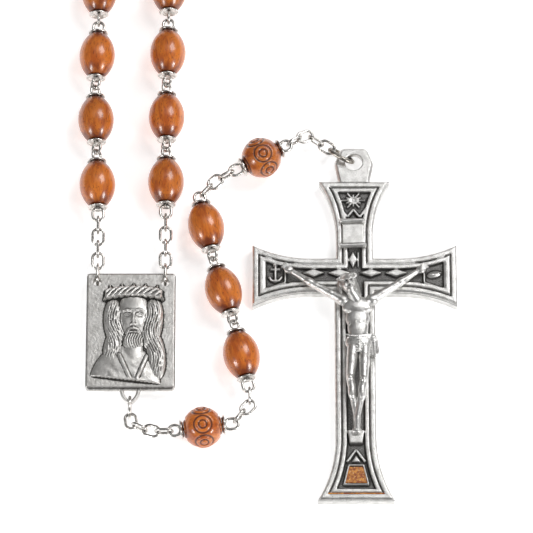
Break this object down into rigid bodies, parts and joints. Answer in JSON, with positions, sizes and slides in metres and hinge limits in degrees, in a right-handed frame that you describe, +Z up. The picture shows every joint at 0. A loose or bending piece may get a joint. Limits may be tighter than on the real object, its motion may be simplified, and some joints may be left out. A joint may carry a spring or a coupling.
{
  "type": "rosary",
  "caption": "Wooden-bead rosary laid flat: a loop of wired oval and round beads closing at a centre medal, with a pendant strand and a cast crucifix.",
  "frame": {"origin": "under the middle of the whole layout, on the table it lies on", "axes": "+Z up from the table, +Y from the centre medal towards the top of the bead loop"},
  "size_m": [0.1758, 0.3378, 0.007],
  "materials": {
    "bead_wood": "varnished",
    "carved_wood": "carved and varnished",
    "chain_metal": "antiqued silver plate",
    "medal_metal": "antiqued pewter, sand textured",
    "crucifix_metal": "antiqued silver plate, darkened recesses",
    "amber_enamel": "translucent enamel"
  },
  "bodies": {
    "centre_medal": {"centre_medal": "medal_metal"},
    "left_medal_ring": {"left_medal_ring": "chain_metal"},
    "left_link_1": {"left_link_1": "chain_metal"},
    "left_link_2": {"left_link_2": "chain_metal"},
    "left_link_3": {"left_link_3": "chain_metal"},
    "left_link_4": {"left_link_4": "chain_metal"},
    "left_pin_1": {"left_pin_1_and_caps": "chain_metal"},
    "left_bead_1": {"left_bead_1": "bead_wood"},
    "left_pin_2": {"left_pin_2_and_caps": "chain_metal"},
    "left_bead_2": {"left_bead_2": "bead_wood"},
    "left_pin_3": {"left_pin_3_and_caps": "chain_metal"},
    "left_bead_3": {"left_bead_3": "bead_wood"},
    "right_medal_ring": {"right_medal_ring": "chain_metal"},
    "right_link_1": {"right_link_1": "chain_metal"},
    "right_link_2": {"right_link_2": "chain_metal"},
    "right_link_3": {"right_link_3": "chain_metal"},
    "right_link_4": {"right_link_4": "chain_metal"},
    "right_pin_1": {"right_pin_1_and_caps": "chain_metal"},
    "right_bead_1": {"right_bead_1": "bead_wood"},
    "right_pin_2": {"right_pin_2_and_caps": "chain_metal"},
    "right_bead_2": {"right_bead_2": "bead_wood"},
    "right_pin_3": {"right_pin_3_and_caps": "chain_metal"},
    "right_bead_3": {"right_bead_3": "bead_wood"},
    "pendant_ring": {"pendant_ring": "chain_metal"},
    "pendant_link_1": {"pendant_link_1": "chain_metal"},
    "pendant_link_2": {"pendant_link_2": "chain_metal"},
    "pendant_link_3": {"pendant_link_3": "chain_metal"},
    "pendant_link_4": {"pendant_link_4": "chain_metal"},
    "pendant_round_pin_1": {"pendant_round_pin_1_and_caps": "chain_metal"},
    "pendant_round_bead_1": {"pendant_round_bead_1": "carved_wood"},
    "pendant_link_5": {"pendant_link_5": "chain_metal"},
    "pendant_link_6": {"pendant_link_6": "chain_metal"},
    "pendant_link_7": {"pendant_link_7": "chain_metal"},
    "pendant_pin_1": {"pendant_pin_1_and_caps": "chain_metal"},
    "pendant_bead_1": {"pendant_bead_1": "bead_wood"},
    "pendant_pin_2": {"pendant_pin_2_and_caps": "chain_metal"},
    "pendant_bead_2": {"pendant_bead_2": "bead_wood"},
    "pendant_pin_3": {"pendant_pin_3_and_caps": "chain_metal"},
    "pendant_bead_3": {"pendant_bead_3": "bead_wood"},
    "pendant_link_8": {"pendant_link_8": "chain_metal"},
    "pendant_link_9": {"pendant_link_9": "chain_metal"},
    "pendant_link_10": {"pendant_link_10": "chain_metal"},
    "pendant_round_pin_2": {"pendant_round_pin_2_and_caps": "chain_metal"},
    "pendant_round_bead_2": {"pendant_round_bead_2": "carved_wood"},
    "pendant_link_11": {"pendant_link_11": "chain_metal"},
    "pendant_link_12": {"pendant_link_12": "chain_metal"},
    "pendant_link_13": {"pendant_link_13": "chain_metal"},
    "pendant_link_14": {"pendant_link_14": "chain_metal"},
    "bail_ring": {"bail_ring": "chain_metal"},
    "crucifix": {"crucifix_cross": "crucifix_metal", "corpus": "crucifix_metal", "title_scroll": "crucifix_metal", "enamel_inlay": "amber_enamel"},
    "left_span": {"left_span_beads": "bead_wood", "left_span_pins_and_caps": "chain_metal"},
    "right_span": {"right_span_beads": "bead_wood", "right_span_pins_and_caps": "chain_metal"},
    "top_span": {"top_span_beads": "bead_wood", "top_span_pins_and_caps": "chain_metal"}
  },
  "joints": [
    {"name": "crucifix_swing", "type": "hinge", "parent": "bail_ring", "child": "crucifix", "pos_m": [0.03665, -0.10605, 0.0021], "axis": [0.4589, 0.7344, 0.5], "range_deg": [0, 12]},
    {"name": "bail_ring_swing", "type": "hinge", "parent": "pendant_link_14", "child": "bail_ring", "pos_m": [0.03415, -0.10448, 0.0022], "axis": [-0.0916, -0.246, 0.9649], "range_deg": [0, 12]},
    {"name": "left_medal_ring_swing", "type": "hinge", "parent": "centre_medal", "child": "left_medal_ring", "pos_m": [-0.00569, -0.12834, 0.0016], "axis": [1, 0, 0], "range_deg": [-20, 20]},
    {"name": "right_medal_ring_swing", "type": "hinge", "parent": "centre_medal", "child": "right_medal_ring", "pos_m": [0.00591, -0.12834, 0.0016], "axis": [1, 0, 0], "range_deg": [-20, 20]},
    {"name": "pendant_ring_swing", "type": "hinge", "parent": "centre_medal", "child": "pendant_ring", "pos_m": [0.00011, -0.15158, 0.0016], "axis": [-1, 0, 0], "range_deg": [-20, 20]},
    {"name": "left_span_swing", "type": "hinge", "parent": "left_pin_3", "child": "left_span", "pos_m": [-0.00613, -0.08166, 0.00311], "axis": [-0.0001, -0.0017, 1], "range_deg": [0, 12]},
    {"name": "right_span_swing", "type": "hinge", "parent": "right_pin_3", "child": "right_span", "pos_m": [0.00613, -0.08115, 0.0031], "axis": [0, -0.0004, 1], "range_deg": [-8, 0]},
    {"name": "top_span_swing", "type": "hinge", "parent": "right_span", "child": "top_span", "pos_m": [0.07928, 0.1001, 0.0031], "axis": [0, 0, 1], "range_deg": [-20, 0]},
    {"name": "left_link_1_swing", "type": "hinge", "parent": "left_medal_ring", "child": "left_link_1", "pos_m": [-0.00569, -0.12734, 0.0016], "axis": [-1, 0, 0], "range_deg": [-20, 20]},
    {"name": "left_link_2_swing", "type": "hinge", "parent": "left_link_1", "child": "left_link_2", "pos_m": [-0.00569, -0.12486, 0.0019], "axis": [0, -0.1205, 0.9927], "range_deg": [0, 12]},
    {"name": "left_link_3_swing", "type": "hinge", "parent": "left_link_2", "child": "left_link_3", "pos_m": [-0.00569, -0.12281, 0.0023], "axis": [1, 0, 0], "range_deg": [-20, 20]},
    {"name": "left_link_4_swing", "type": "hinge", "parent": "left_link_3", "child": "left_link_4", "pos_m": [-0.00569, -0.12076, 0.0027], "axis": [0, -0.1914, 0.9815], "range_deg": [0, 12]},
    {"name": "left_pin_1_swing", "type": "hinge", "parent": "left_link_4", "child": "left_pin_1", "pos_m": [-0.00569, -0.11871, 0.0031], "axis": [-1, 0, 0], "range_deg": [-20, 20]},
    {"name": "left_pin_2_swing", "type": "hinge", "parent": "left_pin_1", "child": "left_pin_2", "pos_m": [-0.00611, -0.10613, 0.0031], "axis": [0.7067, 0.0247, 0.7071], "range_deg": [0, 14]},
    {"name": "left_pin_3_swing", "type": "hinge", "parent": "left_pin_2", "child": "left_pin_3", "pos_m": [-0.00654, -0.09389, 0.0031], "axis": [0.7067, 0.0247, 0.7071], "range_deg": [0, 14]},
    {"name": "right_link_1_swing", "type": "hinge", "parent": "right_medal_ring", "child": "right_link_1", "pos_m": [0.00591, -0.12734, 0.0016], "axis": [-1, 0, 0], "range_deg": [-20, 20]},
    {"name": "right_link_2_swing", "type": "hinge", "parent": "right_link_1", "child": "right_link_2", "pos_m": [0.00591, -0.12474, 0.0019], "axis": [0, -0.1149, 0.9934], "range_deg": [-8, 0]},
    {"name": "right_link_3_swing", "type": "hinge", "parent": "right_link_2", "child": "right_link_3", "pos_m": [0.00591, -0.12257, 0.0023], "axis": [1, 0, 0], "range_deg": [-20, 20]},
    {"name": "right_link_4_swing", "type": "hinge", "parent": "right_link_3", "child": "right_link_4", "pos_m": [0.00591, -0.1204, 0.0027], "axis": [0, -0.181, 0.9835], "range_deg": [-8, 0]},
    {"name": "right_pin_1_swing", "type": "hinge", "parent": "right_link_4", "child": "right_pin_1", "pos_m": [0.00591, -0.11822, 0.0031], "axis": [-1, 0, 0], "range_deg": [-20, 20]},
    {"name": "right_pin_2_swing", "type": "hinge", "parent": "right_pin_1", "child": "right_pin_2", "pos_m": [0.00591, -0.10563, 0.0031], "axis": [0.7071, 0, 0.7071], "range_deg": [-8, 0]},
    {"name": "right_pin_3_swing", "type": "hinge", "parent": "right_pin_2", "child": "right_pin_3", "pos_m": [0.00591, -0.09339, 0.0031], "axis": [0.7071, 0, 0.7071], "range_deg": [-8, 0]},
    {"name": "pendant_link_1_swing", "type": "hinge", "parent": "pendant_ring", "child": "pendant_link_1", "pos_m": [0.00011, -0.15258, 0.0016], "axis": [1, 0, 0], "range_deg": [-20, 20]},
    {"name": "pendant_link_2_swing", "type": "hinge", "parent": "pendant_link_1", "child": "pendant_link_2", "pos_m": [0.00037, -0.15512, 0.0021], "axis": [-0.0266, 0.1892, 0.9816], "range_deg": [-14, 0]},
    {"name": "pendant_link_3_swing", "type": "hinge", "parent": "pendant_link_2", "child": "pendant_link_3", "pos_m": [0.00225, -0.15617, 0.0026], "axis": [-0.4848, -0.8746, 0], "range_deg": [-20, 20]},
    {"name": "pendant_link_4_swing", "type": "hinge", "parent": "pendant_link_3", "child": "pendant_link_4", "pos_m": [0.00426, -0.15692, 0.0031], "axis": [-0.2135, 0.0735, 0.9742], "range_deg": [-14, 0]},
    {"name": "pendant_round_pin_1_swing", "type": "hinge", "parent": "pendant_link_4", "child": "pendant_round_pin_1", "pos_m": [0.00644, -0.15699, 0.0035], "axis": [0.0349, 0.9994, 0], "range_deg": [-20, 20]},
    {"name": "pendant_link_5_swing", "type": "hinge", "parent": "pendant_round_pin_1", "child": "pendant_link_5", "pos_m": [0.01764, -0.15567, 0.0035], "axis": [0, 0, 1], "range_deg": [-14, 0]},
    {"name": "pendant_link_6_swing", "type": "hinge", "parent": "pendant_link_5", "child": "pendant_link_6", "pos_m": [0.019, -0.15393, 0.0034], "axis": [0.788, -0.6157, 0], "range_deg": [-20, 20]},
    {"name": "pendant_link_7_swing", "type": "hinge", "parent": "pendant_link_6", "child": "pendant_link_7", "pos_m": [0.02046, -0.15227, 0.00325], "axis": [0.0454, 0.0504, 0.9977], "range_deg": [-14, 0]},
    {"name": "pendant_pin_1_swing", "type": "hinge", "parent": "pendant_link_7", "child": "pendant_pin_1", "pos_m": [0.02042, -0.15007, 0.0031], "axis": [-0.9998, -0.0175, 0], "range_deg": [-20, 20]},
    {"name": "pendant_pin_2_swing", "type": "hinge", "parent": "pendant_pin_1", "child": "pendant_pin_2", "pos_m": [0.01787, -0.13775, 0.0031], "axis": [0.6917, 0.147, 0.7071], "range_deg": [-10, 0]},
    {"name": "pendant_pin_3_swing", "type": "hinge", "parent": "pendant_pin_2", "child": "pendant_pin_3", "pos_m": [0.0143, -0.12604, 0.00309], "axis": [0.6758, 0.2082, 0.7071], "range_deg": [-10, 0]},
    {"name": "pendant_link_8_swing", "type": "hinge", "parent": "pendant_pin_3", "child": "pendant_link_8", "pos_m": [0.01174, -0.11407, 0.00312], "axis": [0.0008, -0.0039, 1], "range_deg": [0, 14]},
    {"name": "pendant_link_9_swing", "type": "hinge", "parent": "pendant_link_8", "child": "pendant_link_9", "pos_m": [0.01322, -0.11243, 0.0032], "axis": [0.7431, -0.6691, 0], "range_deg": [-20, 20]},
    {"name": "pendant_link_10_swing", "type": "hinge", "parent": "pendant_link_9", "child": "pendant_link_10", "pos_m": [0.01479, -0.11088, 0.0033], "axis": [-0.0325, -0.0314, 0.999], "range_deg": [0, 14]},
    {"name": "pendant_round_pin_2_swing", "type": "hinge", "parent": "pendant_link_10", "child": "pendant_round_pin_2", "pos_m": [0.0167, -0.10978, 0.0035], "axis": [-0.5, 0.866, 0], "range_deg": [-20, 20]},
    {"name": "pendant_link_11_swing", "type": "hinge", "parent": "pendant_round_pin_2", "child": "pendant_link_11", "pos_m": [0.02666, -0.10447, 0.0035], "axis": [0, 0, 1], "range_deg": [0, 14]},
    {"name": "pendant_link_12_swing", "type": "hinge", "parent": "pendant_link_11", "child": "pendant_link_12", "pos_m": [0.02844, -0.10323, 0.0031], "axis": [0.5736, -0.8192, 0], "range_deg": [-20, 20]},
    {"name": "pendant_link_13_swing", "type": "hinge", "parent": "pendant_link_12", "child": "pendant_link_13", "pos_m": [0.03038, -0.10226, 0.0027], "axis": [0.1637, 0.0763, 0.9836], "range_deg": [0, 14]},
    {"name": "pendant_link_14_swing", "type": "hinge", "parent": "pendant_link_13", "child": "pendant_link_14", "pos_m": [0.03224, -0.10338, 0.0023], "axis": [0.515, 0.8572, 0], "range_deg": [-20, 20]},
    {"name": "left_bead_1_spin", "type": "hinge", "parent": "left_pin_1", "child": "left_bead_1", "pos_m": [-0.00592, -0.11161, 0.0031], "axis": [-0.0349, 0.9994, 0], "continuous": true},
    {"name": "left_bead_2_spin", "type": "hinge", "parent": "left_pin_2", "child": "left_bead_2", "pos_m": [-0.00635, -0.09938, 0.0031], "axis": [-0.0349, 0.9994, 0], "continuous": true},
    {"name": "left_bead_3_spin", "type": "hinge", "parent": "left_pin_3", "child": "left_bead_3", "pos_m": [-0.00632, -0.08715, 0.0031], "axis": [0.0349, 0.9994, 0.0017], "continuous": true},
    {"name": "right_bead_1_spin", "type": "hinge", "parent": "right_pin_1", "child": "right_bead_1", "pos_m": [0.00591, -0.11112, 0.0031], "axis": [0, 1, 0], "continuous": true},
    {"name": "right_bead_2_spin", "type": "hinge", "parent": "right_pin_2", "child": "right_bead_2", "pos_m": [0.00591, -0.09888, 0.0031], "axis": [0, 1, 0], "continuous": true},
    {"name": "right_bead_3_spin", "type": "hinge", "parent": "right_pin_3", "child": "right_bead_3", "pos_m": [0.00603, -0.08664, 0.0031], "axis": [0.0175, 0.9998, 0.0004], "continuous": true},
    {"name": "pendant_round_bead_1_spin", "type": "hinge", "parent": "pendant_round_pin_1", "child": "pendant_round_bead_1", "pos_m": [0.01249, -0.1563, 0.0035], "axis": [0.9925, 0.1219, 0], "continuous": true},
    {"name": "pendant_bead_1_spin", "type": "hinge", "parent": "pendant_pin_1", "child": "pendant_bead_1", "pos_m": [0.01901, -0.14312, 0.0031], "axis": [-0.2079, 0.9781, 0], "continuous": true},
    {"name": "pendant_bead_2_spin", "type": "hinge", "parent": "pendant_pin_2", "child": "pendant_bead_2", "pos_m": [0.01591, -0.13129, 0.0031], "axis": [-0.2924, 0.9563, -0.0021], "continuous": true},
    {"name": "pendant_bead_3_spin", "type": "hinge", "parent": "pendant_pin_3", "child": "pendant_bead_3", "pos_m": [0.01288, -0.11944, 0.0031], "axis": [-0.2079, 0.9781, 0.0039], "continuous": true},
    {"name": "pendant_round_bead_2_spin", "type": "hinge", "parent": "pendant_round_pin_2", "child": "pendant_round_bead_2", "pos_m": [0.02239, -0.10674, 0.0035], "axis": [0.8829, 0.4695, 0], "continuous": true}
  ]
}
